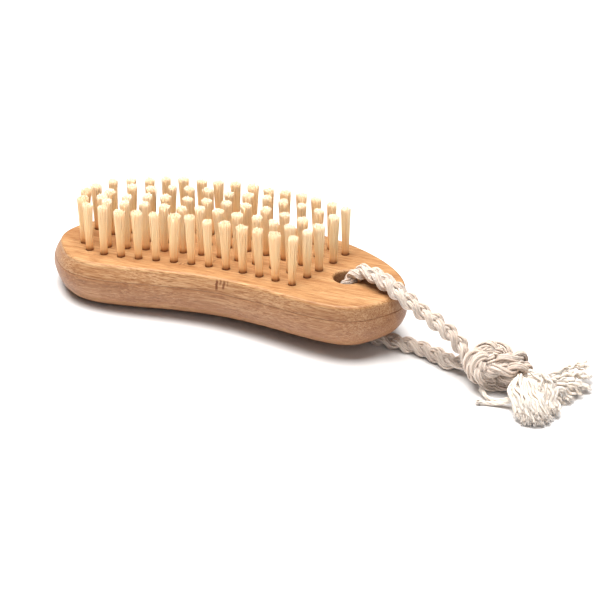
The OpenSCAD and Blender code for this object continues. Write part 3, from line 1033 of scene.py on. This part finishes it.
def right_targets(i, r, s0, d0, uv):
    """The farther end: combed out to the right in a few curling locks, with some yarns
    that hang down over the front."""
    q = r.normal(0, 0.22, 3)
    h = 0.5 + 0.5 * uv[1]
    p1 = s0 + d0 * 1.6 + [0, 0, 0.3]
    if i % 10 < 4:
        a = r.random()
        p2 = np.array([117.6 + 2.6 * a, -22.0, 8.6 + 2.4 * h]) + q
        p3 = np.array([119.4 + 5.6 * a, -24.0 + 1.2 * a, 8.2 + 1.8 * h]) + q
        p4 = np.array([120.4 + 7.0 * a, -27.4 + 1.4 * a, 5.4 + 1.4 * h]) + q
        p5 = np.array([121.4 + 7.6 * a, -30.8 + 2.6 * a, 2.0 + 1.6 * h]) + q
        return [s0, p1, p2, p3, p4, p5]
    f = np.clip(0.5 + 0.55 * uv[0] + r.normal(0, 0.16), 0, 0.999)
    lock = LOCKS[int(f * len(LOCKS))]
    far = lock * [1, 1, 1] + r.normal(0, 1, 3) * [0.9, 0.9, 0.5] - [r.uniform(0, 3.2), 0, 0]
    p2 = np.array([118.8, -20.6 - 2.4 * f, 8.4 + 2.8 * h]) + q
    p3 = np.array([122.8, -17.6 - 6.0 * f, 8.0 + 2.6 * h - 1.8 * f]) + q * 1.6
    p4 = p3 * 0.42 + far * 0.58 + [0, 0, 1.4] + q * 1.4
    return [s0, p1, p2, p3, p4, far]


r0 = np.random.default_rng(3)
fst = doubled(FRONT[0], r0, 52)
rst = doubled(RIGHT[0], r0, 48)
front_b = tassel("front", fst, [FRONT[1]] * len(fst), front_targets, 21, 0.22, 6.5, 5)
end_a = front_b.make("rope_end_front_yarns", COTTON)
right_b = tassel("right", rst, [RIGHT[1]] * len(rst), right_targets, 22, 0.42, 5.6, 4)
end_b = right_b.make("rope_end_right_yarns", COTTON)

# a yarn that has worked loose and points back under the knot
lb = Build()
lr = np.random.default_rng(8)
for way in (
    [[114.6, -29.2, 4.6], [112.6, -29.4, 3.4], [110.4, -29.9, 2.2], [107.6, -30.2, 1.3], [105.0, -30.6, 1.0], [102.4, -31.2, 1.0]],
    [[113.8, -28.6, 4.0], [111.4, -28.6, 3.0], [108.6, -28.9, 2.0], [105.8, -29.0, 1.6], [103.6, -28.2, 1.9], [101.9, -26.6, 2.4]],
):
    loose = resample(through(way, 10), 0.6)
    for k in range(4):
        _, s, u = frames(loose)
        w = 2 * math.pi * (k / 4 + np.arange(len(loose)) * 0.6 / 11)
        p = loose + 0.42 * (s * np.cos(w)[:, None] + u * np.sin(w)[:, None])
        p[:, 2] = np.maximum(p[:, 2], 0.36)
        tube(lb, p, 0.35, 7, tint=0.15 * k)
    d_end = loose[-1] - loose[-5]
    d_end /= np.linalg.norm(d_end)
    for _ in range(30):
        q = loose[-1] + lr.normal(0, 0.35, 3)
        d = d_end + np.array([lr.normal(0, 0.25), lr.normal(0, 0.5), abs(lr.normal(0, 0.25))])
        d /= np.linalg.norm(d)
        h = np.array([q, q + d * 0.8 + lr.normal(0, 0.12, 3), q + d * lr.uniform(1.0, 2.4)])
        h[:, 2] = np.maximum(h[:, 2], 0.14)
        tube(lb, h, [0.15, 0.12, 0.06], 4, tint=0.1)
loose_ob = lb.make("loose_yarn_frayed", COTTON)

for ob, node in ((loop_ob, "rope_loop"), (knot_ob, "rope_knot"), (end_a, "rope_end_a"), (end_b, "rope_end_b"), (loose_ob, "loose_yarn")):
    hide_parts(node)
    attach(ob, "loop")


# ---------------------------------------------------------------------------
# Floor and light
# ---------------------------------------------------------------------------
def floor_material():
    """A white sweep, lit far past white for the camera, while what it throws back at the brush stays modest."""
    k = Mat("white_table")
    n = k.noise(k.node("ShaderNodeTexCoord").outputs["Object"], 40, 2)
    k.set(color=k.mix(n, (0.84, 0.84, 0.85), (0.86, 0.86, 0.87)), rough=0.7, spec=0.1)
    seen = k.node("ShaderNodeBsdfDiffuse")
    seen.inputs[0].default_value = (0.77, 0.765, 0.77, 1)
    # well away from the brush the sweep is simply white, as far as the horizon
    far = k.node("ShaderNodeEmission")
    far.inputs[0].default_value = (1, 1, 1, 1)
    x, y, _ = k.split(k.node("ShaderNodeTexCoord").outputs["Object"])
    away = k.math("SQRT", k.math("ADD", k.math("MULTIPLY", x, x), k.math("MULTIPLY", y, y)))
    sweep = k.node("ShaderNodeMixShader")
    k.link(k.range(away, 0.30, 0.55, 0.0, 1.0, True), sweep.inputs[0])
    k.link(seen.outputs[0], sweep.inputs[1])
    k.link(far.outputs[0], sweep.inputs[2])
    both = k.node("ShaderNodeMixShader")
    k.link(k.node("ShaderNodeLightPath").outputs["Is Camera Ray"], both.inputs[0])
    k.link(k.bsdf.outputs[0], both.inputs[1])
    k.link(sweep.outputs[0], both.inputs[2])
    k.link(both.outputs[0], k.out.inputs["Surface"])
    return k.m


fm = bpy.data.meshes.new("table")
fm.from_pydata([(-4, -4, 0), (4, -4, 0), (4, 4, 0), (-4, 4, 0)], [], [(0, 1, 2, 3)])
fm.materials.append(floor_material())
floor = bpy.data.objects.new("table", fm)
scene.collection.objects.link(floor)

world = bpy.data.worlds.new("world")
scene.world = world
world.use_nodes = True
world.node_tree.nodes["Background"].inputs[0].default_value = (0.98, 0.98, 1.0, 1)
_path = world.node_tree.nodes.new("ShaderNodeLightPath")
_sky = world.node_tree.nodes.new("ShaderNodeMath")
_sky.operation = "MULTIPLY_ADD"
_sky.inputs[1].default_value, _sky.inputs[2].default_value = 0.95, 0.10
world.node_tree.links.new(_path.outputs["Is Camera Ray"], _sky.inputs[0])
world.node_tree.links.new(_sky.outputs[0], world.node_tree.nodes["Background"].inputs[1])


def area(name, at, to, size, power, color=(1, 1, 1)):
    data = bpy.data.lights.new(name, "AREA")
    data.shape, data.size, data.size_y = "RECTANGLE", size[0], size[1]
    data.energy, data.color = power, color
    ob = bpy.data.objects.new(name, data)
    ob.location = at
    ob.rotation_euler = (Vector(to) - Vector(at)).to_track_quat("-Z", "Y").to_euler()
    scene.collection.objects.link(ob)
    return ob


area("key", (-0.10, -0.06, 1.0), (0, 0, 0.01), (0.84, 0.80), 27.0, (1.0, 0.985, 0.96))
area("fill", (0.42, -0.62, 0.60), (0, 0, 0.01), (0.6, 0.5), 1.0, (1.0, 0.985, 0.97))

scene.view_settings.view_transform = "Standard"
scene.view_settings.look = "None"
scene.view_settings.exposure = 0.0
